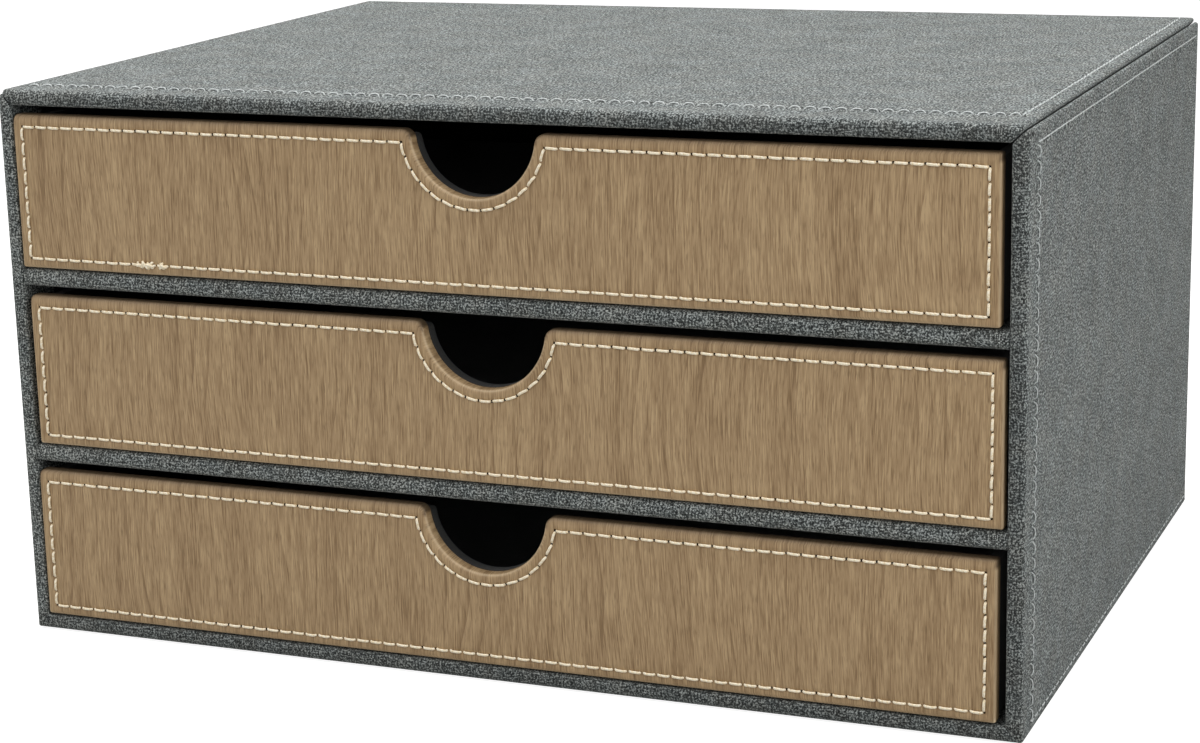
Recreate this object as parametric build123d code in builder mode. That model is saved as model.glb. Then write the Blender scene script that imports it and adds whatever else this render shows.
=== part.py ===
from build123d import *
import os

# Desktop paper cabinet with three drawers, lying landscape. All sizes are in millimetres.
# Origin: centre of the underside. +X is to the right, +Y to the back and +Z up; the fronts face -Y.

# The case: its clear openings, overall depth and boards
bay_names = ["bottom", "middle", "top"]
bay_width = 330.0
bay_height = 54.0
case_depth = 266.0
wall_board = 3.6
shelf_board = 4.4
back_board = 3.0

# What the case is wrapped and lined with
fabric = 0.7
lining = 0.5
front_turn_in = 18.0
outer_roll = 2.4
inner_roll = 1.2
seam_bevel = 0.7
shelf_roll = 1.5
back_panel_roll = 0.9
shelf_recess = 0.4
back_recess = 0.5

# The felt under the case
felt_margin = 15.0
felt_proud = 0.3
felt_corner = 6.0

# Drawer fronts: a board wrapped in leather cloth, with a finger notch in its top edge
front_side_play = 3.1
front_top_gap = 2.8
front_lift = 0.6
front_recess = 0.3
front_board = 3.0
leather = 0.7
leather_turn_in = 9.0
leather_roll = 1.4
front_corner = 1.8
notch_radius = 20.6
notch_lip = 3.2
rest_gap_left = {"bottom": 0.3, "middle": 1.9, "top": 0.4}

# Drawer boxes behind the fronts: thin boards wrapped in black cloth
box_side_step = 1.0
box_top_step = 2.0
box_board = 3.0
box_floor = 2.5
box_wrap = 0.4
box_corner = 0.8
box_lip = 1.6
pad_thickness = 0.8
pad_clearance = 0.4
running_gap = 0.3
seat_gap = 0.3

# Sizes that follow from those above
wall = wall_board + 2 * fabric
shelf = shelf_board + 2 * fabric
bay_pitch = bay_height + shelf
inner_height = len(bay_names) * bay_pitch - shelf
case_width = bay_width + 2 * wall
case_height = inner_height + 2 * wall
base_z = felt_proud
middle_z = base_z + case_height / 2
front_y = -case_depth / 2
back_y = case_depth / 2
turn_in_y = front_y + front_turn_in
back_panel = back_board + fabric
back_panel_y = back_y - back_recess - back_panel

front_width = bay_width - front_side_play
front_height = bay_height - front_top_gap - front_lift
front_thickness = front_board + 2 * leather
front_face_y = front_y + front_recess
box_front_y = front_face_y + front_thickness
box_length = back_panel_y - lining - seat_gap - box_front_y
box_width = front_width - 2 * box_side_step
box_height = front_lift + front_height - box_top_step - running_gap
box_wall = box_board + 2 * box_wrap
on_floor = (Align.CENTER, Align.MIN, Align.MIN)

pieces = []


def keep(name, part):
    """Label a finished piece and put it on the list of what is written out at the end."""
    part.label = name
    pieces.append(part)


def eased(radius):
    """Bevel on the edge of a board that follows the roll of this radius in the cloth over it."""
    return radius * (2 - 2**0.5)


def bay_floor(index):
    """Height of the covered floor of a bay, counted from the bottom one."""
    return base_z + wall + index * bay_pitch


# --- Case walls: four boards, each wrapped in its own fabric, that meet in mitres ---


def wall_outline(side, inset):
    """Corners, in X and Z, of one mitred wall seen from the front, drawn in by inset all round."""
    upright = side in ("left", "right")
    half_length = (case_height if upright else case_width) / 2
    half_span = (case_width if upright else case_height) / 2
    mitre_inset = inset * (1 + 2**0.5)
    outer_end = half_length - mitre_inset
    inner_end = half_length - wall - mitre_inset + 2 * inset
    outer_face = half_span - inset
    inner_face = half_span - wall + inset
    if side in ("bottom", "left"):
        outer_face = -outer_face
        inner_face = -inner_face
    corners = [(-outer_end, outer_face), (outer_end, outer_face)]
    corners += [(inner_end, inner_face), (-inner_end, inner_face)]
    if upright:
        corners = [(across, along) for along, across in corners]
    return [(x, middle_z + z) for x, z in corners]


def long_edges(part, outward, at_front, at_outside):
    """The edge of a wall's front or back end face that lies on its outer or inner side."""
    end_face = part.faces().sort_by(Axis.Y)[0 if at_front else -1]
    return end_face.edges().sort_by(outward)[-1 if at_outside else 0]


for side in ("top", "bottom", "left", "right"):
    outward = {"top": Axis.Z, "bottom": -Axis.Z, "left": -Axis.X, "right": Axis.X}[side]

    with BuildPart() as board:
        with BuildSketch(Plane.XZ.offset(-(front_y + fabric))):
            with BuildLine():
                Polyline(*wall_outline(side, fabric), close=True)
            make_face()
        extrude(amount=-(case_depth - 2 * fabric))
        for at_front in (True, False):
            chamfer(long_edges(board, outward, at_front, True), eased(outer_roll - fabric))
            chamfer(long_edges(board, outward, at_front, False), eased(inner_roll - fabric))
    keep(side + "_board", board.part)

    with BuildPart() as cover:
        with BuildSketch(Plane.XZ.offset(-front_y)):
            with BuildLine():
                Polyline(*wall_outline(side, 0), close=True)
            make_face()
        extrude(amount=-case_depth)
        for at_front in (True, False):
            fillet(long_edges(cover, outward, at_front, True), outer_roll)
            fillet(long_edges(cover, outward, at_front, False), inner_roll)
        outer_skin = cover.faces().sort_by(outward)[-1]
        chamfer(outer_skin.edges().filter_by(Axis.Y), seam_bevel)
        add(board.part, mode=Mode.SUBTRACT)
        # Behind its turned-in hem the fabric stops, and the bay linings take over
        with Locations((0, turn_in_y, base_z + wall - fabric)):
            Box(
                bay_width + 2 * fabric,
                back_panel_y - turn_in_y,
                inner_height + 2 * fabric,
                align=on_floor,
                mode=Mode.SUBTRACT,
            )
        if side == "bottom":
            with BuildSketch(Plane.XY.offset(base_z)):
                RectangleRounded(case_width - 2 * felt_margin, case_depth - 2 * felt_margin, felt_corner)
            extrude(amount=fabric, mode=Mode.SUBTRACT)
    keep(side + "_cover", cover.part)

with BuildPart() as base_felt:
    with BuildSketch():
        RectangleRounded(case_width - 2 * felt_margin, case_depth - 2 * felt_margin, felt_corner)
    extrude(amount=felt_proud + fabric)
keep("base_felt", base_felt.part)

# --- Back panel: a wrapped board set in between the four walls ---

with BuildPart() as back_core:
    with Locations((0, back_panel_y, base_z + wall + fabric)):
        Box(bay_width - 2 * fabric, back_board, inner_height - 2 * fabric, align=on_floor)
keep("back_board", back_core.part)

with BuildPart() as back_cover:
    with Locations((0, back_panel_y, base_z + wall)):
        Box(bay_width, back_panel, inner_height, align=on_floor)
    fillet(back_cover.faces().sort_by(Axis.Y)[-1].edges(), back_panel_roll)
    add(back_core.part, mode=Mode.SUBTRACT)
keep("back_cover", back_cover.part)

# --- Shelves: boards that run from side board to side board, wrapped over their front edge ---

shelf_front_y = front_y + shelf_recess
for index, name in enumerate(["lower_shelf", "upper_shelf"], start=1):
    shelf_z = bay_floor(index) - shelf / 2
    centred_from_front = (Align.CENTER, Align.MIN, Align.CENTER)

    with BuildPart() as board:
        with Locations((0, shelf_front_y + fabric, shelf_z)):
            Box(bay_width, front_turn_in - shelf_recess - fabric, shelf_board, align=centred_from_front)
        with Locations((0, turn_in_y, shelf_z)):
            Box(bay_width + 2 * fabric, back_panel_y - turn_in_y, shelf_board, align=centred_from_front)
        chamfer(board.faces().sort_by(Axis.Y)[0].edges().filter_by(Axis.X), eased(shelf_roll - fabric))
    keep(name + "_board", board.part)

    with BuildPart() as cover:
        with Locations((0, shelf_front_y, shelf_z)):
            Box(bay_width, front_turn_in - shelf_recess, shelf, align=centred_from_front)
        fillet(cover.faces().sort_by(Axis.Y)[0].edges().filter_by(Axis.X), shelf_roll)
        add(board.part, mode=Mode.SUBTRACT)
    keep(name + "_cover", cover.part)

# --- Bay linings: black paper on the boards of each bay, from the fabric's hem to the back ---

for index, name in enumerate(bay_names):
    with BuildPart() as bay_lining:
        with Locations((0, turn_in_y, bay_floor(index) - fabric)):
            Box(bay_width + 2 * fabric, back_panel_y - turn_in_y, bay_height + 2 * fabric, align=on_floor)
        offset(amount=-lining, openings=bay_lining.faces().sort_by(Axis.Y)[0])
    keep(name + "_bay_lining", bay_lining.part)

# --- Drawers ---


def front_outline(inset, lip_radius, ease_corner, corner_size):
    """Outline of a drawer front with its finger notch, drawn in by inset all round."""
    with BuildSketch() as outline:
        with Locations((0, front_height / 2)):
            Rectangle(front_width - 2 * inset, front_height - 2 * inset)
        with Locations((0, front_height)):
            Circle(notch_radius + inset, mode=Mode.SUBTRACT)
        if lip_radius > 0:
            fillet(outline.vertices().sort_by(Axis.X)[2:4], lip_radius)
        if corner_size > 0:
            across = outline.vertices().sort_by(Axis.X)
            ease_corner(across[:2] + across[-2:], corner_size)
    return outline.sketch


leather_outline = front_outline(0, notch_lip, fillet, front_corner)
panel_outline = front_outline(leather, notch_lip - leather, chamfer, eased(front_corner - leather))
hem_outline = front_outline(leather_turn_in, 0, chamfer, 0)


def cut_notch(wall_part, centre, radius, lip_radius):
    """Cut the finger notch through the front wall of a drawer box and round its two lips."""
    with BuildSketch(Plane(origin=centre, x_dir=(1, 0, 0), z_dir=(0, 1, 0))) as notch:
        Circle(radius)
    extrude(notch.sketch, amount=box_wall, mode=Mode.SUBTRACT)
    lips = wall_part.edges().filter_by(Axis.Y)
    lips = lips.filter_by_position(Axis.X, centre[0] - radius, centre[0] + radius)
    fillet(lips, lip_radius)


for index, bay_name in enumerate(bay_names):
    drawer = bay_name + "_drawer_"
    floor_z = bay_floor(index)
    centre_x = (front_width - bay_width) / 2 + rest_gap_left[bay_name]
    front_z = floor_z + front_lift
    notch_centre = (centre_x, box_front_y, front_z + front_height)
    box_z = floor_z + running_gap
    facing = Plane(origin=(centre_x, front_face_y, front_z), x_dir=(1, 0, 0), z_dir=(0, -1, 0))

    # Front panel and the leather that is drawn over it and turned in behind
    with BuildPart() as front_panel:
        with BuildSketch(facing.offset(-leather)):
            add(panel_outline)
        extrude(amount=-front_board)
        chamfer(front_panel.faces().sort_by(Axis.Y)[0].edges(), eased(leather_roll - leather))
    keep(drawer + "front_panel", front_panel.part)

    with BuildPart() as front_leather:
        with BuildSketch(facing):
            add(leather_outline)
        extrude(amount=-front_thickness)
        fillet(front_leather.faces().sort_by(Axis.Y)[0].edges(), leather_roll)
        add(front_panel.part, mode=Mode.SUBTRACT)
        with BuildSketch(facing.offset(-(leather + front_board))):
            add(hem_outline)
        extrude(amount=-leather, mode=Mode.SUBTRACT)
    keep(drawer + "front_leather", front_leather.part)

    # Box walls, glued up round the floor
    wall_z = box_z + box_wrap
    wall_height = box_height - 2 * box_wrap
    side_length = box_length - 2 * (box_wrap + box_board)
    inner_y = box_front_y + box_wrap + box_board
    with BuildPart() as front_wall:
        with Locations((centre_x, box_front_y + box_wrap, wall_z)):
            Box(box_width - 2 * box_wrap, box_board, wall_height, align=on_floor)
        cut_notch(front_wall, notch_centre, notch_radius + box_wrap, box_lip - box_wrap)
    with BuildPart() as back_wall:
        with Locations((centre_x, inner_y + side_length, wall_z)):
            Box(box_width - 2 * box_wrap, box_board, wall_height, align=on_floor)
    with BuildPart() as left_wall:
        with Locations((centre_x - (box_width - box_board) / 2 + box_wrap, inner_y, wall_z)):
            Box(box_board, side_length, wall_height, align=on_floor)
    with BuildPart() as right_wall:
        with Locations((centre_x + (box_width - box_board) / 2 - box_wrap, inner_y, wall_z)):
            Box(box_board, side_length, wall_height, align=on_floor)
    with BuildPart() as box_base:
        with Locations((centre_x, inner_y, wall_z)):
            Box(box_width - 2 * (box_wrap + box_board), side_length, box_floor, align=on_floor)

    boards = {
        "front_wall": front_wall.part,
        "back_wall": back_wall.part,
        "left_wall": left_wall.part,
        "right_wall": right_wall.part,
        "floor": box_base.part,
    }
    for board_name, board_part in boards.items():
        keep(drawer + board_name, board_part)

    # Black cloth over the whole box: outside, over the rim and down the inside
    with BuildPart() as wrap:
        with Locations((centre_x, box_front_y, box_z)):
            Box(box_width, box_length, box_height, align=on_floor)
        fillet(wrap.edges().filter_by(Axis.Z).group_by(Axis.Y)[-1], box_corner)
        chamfer(wrap.faces().sort_by(Axis.Z)[0].edges(), eased(box_corner))
        with Locations((centre_x, box_front_y + box_wall, wall_z + box_floor)):
            Box(
                box_width - 2 * box_wall,
                box_length - 2 * box_wall,
                box_height,
                align=on_floor,
                mode=Mode.SUBTRACT,
            )
        cut_notch(wrap, notch_centre, notch_radius, box_lip)
        for board_part in boards.values():
            add(board_part, mode=Mode.SUBTRACT)
    keep(drawer + "box_wrap", wrap.part)

    with BuildPart() as floor_pad:
        with Locations((centre_x, box_front_y + box_wall + pad_clearance, wall_z + box_floor)):
            Box(
                box_width - 2 * (box_wall + pad_clearance),
                box_length - 2 * (box_wall + pad_clearance),
                pad_thickness,
                align=on_floor,
            )
    keep(drawer + "floor_pad", floor_pad.part)

os.makedirs("parts", exist_ok=True)
for piece in pieces:
    export_step(piece, f"parts/{piece.label}.step")
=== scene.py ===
import random
from math import asin, atan2, ceil, cos, degrees, dist, pi, radians, sin, sqrt, tan, tau

import bpy
import numpy as np
from mathutils import Matrix, Vector


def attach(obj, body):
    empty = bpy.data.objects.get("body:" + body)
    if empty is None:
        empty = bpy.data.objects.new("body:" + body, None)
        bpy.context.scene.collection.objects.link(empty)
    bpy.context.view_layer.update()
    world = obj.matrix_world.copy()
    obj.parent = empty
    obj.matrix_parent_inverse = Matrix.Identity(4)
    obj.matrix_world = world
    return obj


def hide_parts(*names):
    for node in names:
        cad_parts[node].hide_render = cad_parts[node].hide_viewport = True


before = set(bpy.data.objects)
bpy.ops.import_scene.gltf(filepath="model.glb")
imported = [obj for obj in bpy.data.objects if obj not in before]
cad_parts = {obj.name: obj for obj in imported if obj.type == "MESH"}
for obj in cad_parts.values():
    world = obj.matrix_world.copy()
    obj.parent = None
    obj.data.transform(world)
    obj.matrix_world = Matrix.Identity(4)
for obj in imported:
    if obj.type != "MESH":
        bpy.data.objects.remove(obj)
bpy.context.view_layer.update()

MM = 0.001


# --- The room it was photographed in ---
# A pale floor that the camera sees as plain white, one large soft light overhead, a weaker one at the right
# and one at the left front. The camera stands to the right of the cabinet and looks a little down on it.

def linear(colour):
    """An sRGB hex colour as the linear RGBA that Blender's sockets take."""
    parts = [int(colour[i:i + 2], 16) / 255 for i in (1, 3, 5)]
    return [c / 12.92 if c <= 0.04045 else ((c + 0.055) / 1.055) ** 2.4 for c in parts] + [1.0]


def add_node(tree, kind, settings=None, links=None):
    """Add one shader node.

    settings name a socket, by name or number, or a property, or are the stops of a colour ramp. links give a
    socket its source: one output of a node, or a node, which stands for its first output.
    """
    node = tree.nodes.new("ShaderNode" + kind)
    sockets = {}
    for name, value in (settings or {}).items():
        if name == "stops":
            for _ in value[2:]:
                node.color_ramp.elements.new(0.5)
            for element, (position, colour) in zip(node.color_ramp.elements, value):
                element.position, element.color = position, linear(colour)
        elif isinstance(name, str) and name not in node.inputs:
            setattr(node, name, value)
        else:
            sockets[name] = value
    for name, value in sockets.items():
        node.inputs[name].default_value = value
    for name, source in (links or {}).items():
        output = source.outputs[0] if isinstance(source, bpy.types.Node) else source
        tree.links.new(output, node.inputs[name])
    return node


def new_material(name):
    """An empty node material and its tree."""
    material = bpy.data.materials.new(name)
    material.use_nodes = True
    material.node_tree.nodes.clear()
    return material, material.node_tree


def new_object(name, data):
    """An object in the scene, made of a mesh, a lamp or a lens."""
    thing = bpy.data.objects.new(name, data)
    bpy.context.scene.collection.objects.link(thing)
    return thing


lens = bpy.data.cameras.new("camera")
lens.sensor_width, lens.lens, lens.clip_end = 36, 82.16, 30
camera = new_object("camera", lens)
camera_place = (0.34461, -0.87730, 0.30266)
camera_azimuth, camera_elevation, camera_roll = 22.312, 13.836, -1.413
camera.matrix_world = (
    Matrix.Translation(camera_place)
    @ Matrix.Rotation(radians(camera_azimuth), 4, "Z")
    @ Matrix.Rotation(radians(90 - camera_elevation), 4, "X")
    @ Matrix.Rotation(radians(camera_roll), 4, "Z")
)
bpy.context.scene.camera = camera

# Each softbox: its watts, the side of its square in metres, where it hangs and what it is turned to
for lamp_name, watts, side, hangs_at, aim in (
    ("overhead_softbox", 25.4, 1.3, (-0.35, 0.05, 1.5), (0, 0, 0.1)),
    ("right_softbox", 4.4, 0.6, (0.9, -0.35, 0.5), (0.17, 0, 0.1)),
    ("left_front_fill", 3.4, 1.0, (-0.75, -1.0, 0.7), (0, -0.1, 0.1)),
):
    softbox = bpy.data.lights.new(lamp_name, "AREA")
    softbox.energy, softbox.size = watts, side
    lamp = new_object(lamp_name, softbox)
    lamp.location = hangs_at
    lamp.rotation_euler = (Vector(aim) - Vector(hangs_at)).to_track_quat("-Z", "Y").to_euler()


def seen_by(tree, *ray_kinds):
    """1 for rays of these kinds and 0 for any other."""
    rays = add_node(tree, "LightPath")
    seen = rays.outputs[ray_kinds[0]]
    for kind in ray_kinds[1:]:
        seen = add_node(tree, "Math", {"operation": "MAXIMUM"}, {0: seen, 1: rays.outputs[kind]})
    return seen


world = bpy.data.worlds.new("studio")
bpy.context.scene.world = world
world.use_nodes = True
tree = world.node_tree
tree.nodes.clear()
room_light = add_node(tree, "Background", {"Color": linear("#fbfcfd"), "Strength": 0.36})
white_beyond = add_node(tree, "Background", {"Color": linear("#ffffff"), "Strength": 1.0})
seen = seen_by(tree, "Is Camera Ray", "Is Transmission Ray", "Is Glossy Ray")
both = add_node(tree, "MixShader", None, {0: seen, 1: room_light, 2: white_beyond})
add_node(tree, "OutputWorld", None, {"Surface": both})

# The floor throws some light back up. It is as white as what lies beyond it, apart from the faint shadow at
# the foot of the cabinet.
floor_radius, floor_sides, floor_z, floor_glow = 6.0, 96, -0.0002, 0.9
floor_mesh = bpy.data.meshes.new("studio_floor")
floor_turns = [tau * k / floor_sides for k in range(floor_sides)]
floor_rim = [(floor_radius * cos(turn), floor_radius * sin(turn), floor_z) for turn in floor_turns]
floor_mesh.from_pydata(floor_rim, [], [list(range(floor_sides))])
floor = new_object("studio_floor", floor_mesh)
floor_paint, tree = new_material("pale_studio_floor")
matt = add_node(tree, "BsdfDiffuse", {"Color": linear("#a6a6a4")})
seen = seen_by(tree, "Is Camera Ray", "Is Glossy Ray")
glow = add_node(tree, "Math", {"operation": "MULTIPLY", 1: floor_glow}, {0: seen})
glow = add_node(tree, "Emission", {"Color": linear("#ffffff")}, {"Strength": glow})
both = add_node(tree, "AddShader", None, {0: matt, 1: glow})
add_node(tree, "OutputMaterial", None, {"Surface": both})
floor_mesh.materials.append(floor_paint)
bpy.context.scene.view_settings.view_transform = "Standard"


# --- The boards of the case and of the drawers ---
# Raw medium-density fibreboard, sawn to size and glued. They keep their CAD shapes, and the cloth
# and leather hide nearly all of them.

def in_millimetres(tree):
    """A point of the piece in its own millimetres."""
    coordinates = add_node(tree, "TexCoord")
    return add_node(tree, "VectorMath", {"operation": "SCALE", "Scale": 1 / MM},
                    {0: coordinates.outputs["Object"]})


def dress(ending, material):
    """Give the CAD pieces whose names end so a finish in place of their plain one."""
    for name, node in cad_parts.items():
        if name.endswith(ending):
            for material_slot in node.material_slots:
                material_slot.material = material


# Pressed fibres about 1 mm long: the eye gets a felted, slightly mottled tan with no grain direction
fibreboard, tree = new_material("raw_fibreboard")
place = in_millimetres(tree)
fibres = add_node(tree, "TexNoise", {"Scale": 1.4, "Detail": 6.0, "Roughness": 0.75}, {"Vector": place})
mottle = add_node(tree, "TexNoise", {"Scale": 0.06, "Detail": 2.0}, {"Vector": place})
tone = add_node(tree, "Math", {"operation": "MULTIPLY_ADD", 1: 0.35, 2: 0.32}, {0: mottle})
tone = add_node(tree, "Math", {"operation": "MULTIPLY_ADD", 1: 0.35}, {0: fibres, 2: tone})
browns = add_node(tree, "ValToRGB", {"stops": ((0.38, "#6f5a41"), (0.85, "#a98d69"))}, {"Fac": tone})
relief = add_node(tree, "Bump", {"Strength": 0.5, "Distance": 0.15 * MM}, {"Height": fibres})
skin = add_node(tree, "BsdfPrincipled", {"Roughness": 0.82, "Specular IOR Level": 0.3},
                {"Base Color": browns, "Normal": relief})
add_node(tree, "OutputMaterial", None, {"Surface": skin})

for ending in ("_board", "front_panel", "front_wall", "back_wall", "left_wall", "right_wall",
               "_drawer_floor"):
    dress(ending, fibreboard)


# --- The four covers of the case walls ---
# Linen-look coated cloth, 0.7 mm thick, glued round each wall board: hem inside the bays, front edge,
# outer face, back edge. The four meet in mitres, where their sewn edges roll in and leave a fine seam.

wall_thickness, fabric = 5.0, 0.7
case_width, case_height, case_depth, base_z = 340.0, 183.6, 266.0, 0.3
back_panel_thickness, back_recess = 3.7, 0.5
top_reach, side_reach = case_width / 2, case_height / 2
front_y, back_y = -case_depth / 2, case_depth / 2
top_z, middle_z = base_z + case_height, base_z + case_height / 2
hem_y, back_panel_y = front_y + 18.0, back_y - back_recess - back_panel_thickness
outer_roll, inner_roll = 2.4, 1.2
top_seam_roll, bottom_seam_roll, seam_depth, seam_draw_in = 0.95, 0.15, 1.2, 0.28
cloth_skin = fabric - 0.1


def rolled_path(corners, spacing):
    """Walk a profile of (s, h, radius) corners, in points of (s, h, normal s, normal h, walked length)."""
    path, walked, turns = [], 0.0, 6
    start = np.array(corners[0][:2], float)
    for i in range(1, len(corners)):
        corner = np.array(corners[i][:2], float)
        ahead = (corner - start) / np.linalg.norm(corner - start)
        normal = np.array([-ahead[1], ahead[0]])
        last = i == len(corners) - 1
        radius = 0.0 if last else corners[i][2]
        stop = corner - ahead * radius
        steps = max(1, ceil(np.linalg.norm(stop - start) / spacing))
        for k in range(steps + 1):
            point = start + (stop - start) * k / steps
            path.append((*point, *normal, walked + np.linalg.norm(stop - start) * k / steps))
        walked = path[-1][4]
        if last:
            break
        centre = stop - normal * radius
        for k in range(1, turns):
            angle = pi / 2 * k / turns
            spoke = normal * cos(angle) + ahead * sin(angle)
            path.append((*(centre + spoke * radius), *spoke, walked + radius * angle))
        walked += radius * pi / 2
        start = centre + ahead * radius
    return path


def quads(grid, closed=False):
    """The faces between neighbours in a grid of point numbers, whose rows may close into rings."""
    if closed:
        grid = np.c_[grid, grid[:, 0]]
    corners = np.stack([grid[:-1, :-1], grid[:-1, 1:], grid[1:, 1:], grid[1:, :-1]], 2)
    return corners.reshape(-1, 4).tolist()


def wrapped_cloth(name, axes, origin, path, reach, mitre, columns, rolls, relief, thickness):
    """Sweep a profile along a wall and roll its two ends in at the mitre, or square where mitre is 0.

    axes are the directions of a, s and h; reach is half the length along a at h = 0; rolls are the radii at
    the low and the high end of a; relief(a, s) lifts the outer face. The cloth gets a UV map of real
    millimetres, so that its threads run true.
    """
    along, up, out = (np.array(v, float) for v in axes)
    points, places = [], []
    arc_steps = 6
    for s, h, ns, nh, walked in path:
        wedge = atan2(1.0, mitre * nh)
        curls = []
        for roll in rolls:
            starts = reach + mitre * (h - seam_draw_in * roll) - roll / tan(wedge / 2)
            turns = [(pi - wedge) * k / arc_steps for k in range(1, arc_steps + 1)]
            curl = [(starts + roll * sin(t), -roll + roll * cos(t), starts + roll * t) for t in turns]
            # Past its roll the cloth goes on down the mitre, so that the seam is a dark, closed valley
            foot_a, foot_b, foot_u = curl[-1]
            curl.append((foot_a - seam_depth * cos(wedge), foot_b - seam_depth * sin(wedge),
                         foot_u + seam_depth))
            curls.append((starts, curl))
        (low, low_curl), (high, high_curl) = curls
        inner = (columns + 1) / 2 * (low + high) - low
        on_face = nh > 0.999
        lift = relief(inner, s) if on_face else np.zeros_like(inner)
        row = [(-a, b, -u) for a, b, u in reversed(low_curl)]
        row += [(a, b, a) for a, b in zip(inner, lift)] + high_curl
        for a, b, u in row:
            points.append(np.array(origin) + along * a + up * (s + ns * b) + out * (h + nh * b))
            places.append((u, walked))
    faces = quads(np.arange(len(points)).reshape(len(path), -1))
    if np.dot(np.cross(along, up), out) < 0:
        faces = [face[::-1] for face in faces]
    return cloth_mesh(name, points, faces, places, thickness)


def even_columns(reach, step):
    """Places from -1 to 1 that lie about a step apart on a wall that reaches so far each way."""
    return np.linspace(-1, 1, 2 * ceil(reach / step) + 1)


def cloth_mesh(name, points, faces, places, thickness):
    """A smooth mesh from points and UV places in millimetres, with a real thickness towards its inside."""
    mesh = bpy.data.meshes.new(name)
    mesh.from_pydata((np.array(points) * MM).tolist(), [], faces)
    layer = mesh.uv_layers.new(name="cloth")
    corners = np.zeros(len(mesh.loops), np.int32)
    mesh.loops.foreach_get("vertex_index", corners)
    layer.data.foreach_set("uv", np.array(places, np.float32)[corners].ravel())
    mesh.polygons.foreach_set("use_smooth", [True] * len(mesh.polygons))
    piece = new_object(name, mesh)
    if thickness:
        body = piece.modifiers.new("thickness", "SOLIDIFY")
        body.thickness = thickness * MM
        body.offset = -1.0
    return piece


def soft_waves(seed, height, shortest):
    """Slow, faint unevenness of cloth that is glued to board, as a function of two millimetre places."""
    draw = random.Random(seed)
    waves, wave_count = [], 7
    for _ in range(wave_count):
        turn = draw.uniform(0, tau)
        wavelength = shortest * draw.uniform(1.0, 3.0)
        per_mm = tau / wavelength
        waves.append((cos(turn) * per_mm, sin(turn) * per_mm, draw.uniform(0, tau),
                      height * draw.uniform(0.4, 1.0)))
    return lambda a, s: sum(h * np.sin(ka * a + ks * s + p) for ka, ks, p, h in waves) / 2


# Two rows on the top: one along the front, which runs a little askew, and one along the right edge.
# The sides have one behind their front edge, one under the top and one just over the bottom edge.
stitch_length, row_dip, seam_row_share = 4.7, 0.7, 0.7
row_inset, side_front_row, side_bottom_row, row_stop = 6.3, front_y + 12.0, 2.9, back_y - 4.5
top_row_ends = ((-top_reach + 5.5, front_y + 10.4), (top_reach - row_inset, front_y + 18.5))
top_crown, row_margin = 0.9, 1.0
top_waves = soft_waves(3, 0.07, 38.0)
side_waves = soft_waves(5, 0.06, 42.0)
plain_waves = soft_waves(8, 0.05, 50.0)


def stitch_dip(distance, along):
    """Depth of the cloth near a sewn row: deep at each hole, shallow between, with a soft swell beside it."""
    groove_width, between = 1.1, 0.1
    swell_height, swell_from_row, swell_width = 0.28, 1.7, 1.2
    at_hole = np.cos(pi * along / stitch_length) ** 8
    groove = -row_dip * (between + (1 - between) * at_hole) * np.exp(-((distance / groove_width) ** 2))
    swell = swell_height * (1 - at_hole) * np.exp(-(((np.abs(distance) - swell_from_row) / swell_width) ** 2))
    return groove + swell


def top_row_y(a):
    (a0, y0), (a1, y1) = top_row_ends
    return y0 + (y1 - y0) * (a - a0) / (a1 - a0)


def fade_out(a, s, reach):
    """1 in the middle of a face and 0 where it starts to roll."""
    end_margin, end_fade, roll_fade = 1.8, 4.0, 5.0
    near_end = np.clip((reach - end_margin - np.abs(a)) / end_fade, 0, 1)
    near_roll = np.clip((back_y - outer_roll - abs(s)) / roll_fade, 0, 1)
    return near_end * near_roll


def top_relief(a, s):
    """a runs from the left to the right edge of the top, s from its front to its back."""
    (left, _), (right, right_row_start) = top_row_ends
    crown = top_crown * (1 - (a / top_reach) ** 2) * (1 - (s / back_y) ** 4)
    front_row = np.where((a > left) & (a < right + row_margin), stitch_dip(s - top_row_y(a), a - left), 0)
    right_row = stitch_dip(a - right, s - right_row_start)
    right_row = np.where(s > right_row_start - row_margin, right_row * seam_row_share, 0)
    return crown + fade_out(a, s, top_reach) * (top_waves(a, s) + front_row + right_row)


def side_relief(a, s):
    """a runs from the bottom edge to the top edge of a side, s from its front to its back."""
    low, high = -side_reach + side_bottom_row, side_reach - row_inset
    front_row = np.where((a > low) & (a < high), stitch_dip(s - side_front_row, a - low), 0)
    upper_row = stitch_dip(a - high, s - side_front_row)
    upper_row = np.where(s > side_front_row - row_margin, upper_row * seam_row_share, 0)
    return fade_out(a, s, side_reach) * (side_waves(a, s) + front_row + upper_row)


# Threads of the cloth stand 0.52 mm apart; a plain weave of dark and light threads that vary along their
# length gives the eye a speckled grey with short dashes, a little bluer here and browner there
linen_cloth, tree = new_material("grey_linen_look_cloth")
cloth_map = add_node(tree, "UVMap", {"uv_map": "cloth"})
thread_spacing, slub_length = 0.52, 2.6
threads = []
for stretch in ((1 / thread_spacing, 1 / slub_length, 1), (1 / slub_length, 1 / thread_spacing, 1)):
    stretched = add_node(tree, "Mapping", {"Scale": stretch}, {"Vector": cloth_map})
    threads.append(add_node(tree, "TexNoise",
                            {"noise_dimensions": "2D", "Scale": 1.0, "Detail": 1.0, "Roughness": 0.6},
                            {"Vector": stretched}))
parts = add_node(tree, "SeparateXYZ", None, {0: cloth_map})
swings = []
for axis in ("X", "Y"):
    turns = add_node(tree, "Math", {"operation": "MULTIPLY", 1: pi / thread_spacing},
                     {0: parts.outputs[axis]})
    swings.append(add_node(tree, "Math", {"operation": "SINE"}, {0: turns}))
over_under = add_node(tree, "Math", {"operation": "MULTIPLY"}, {0: swings[0], 1: swings[1]})
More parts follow.
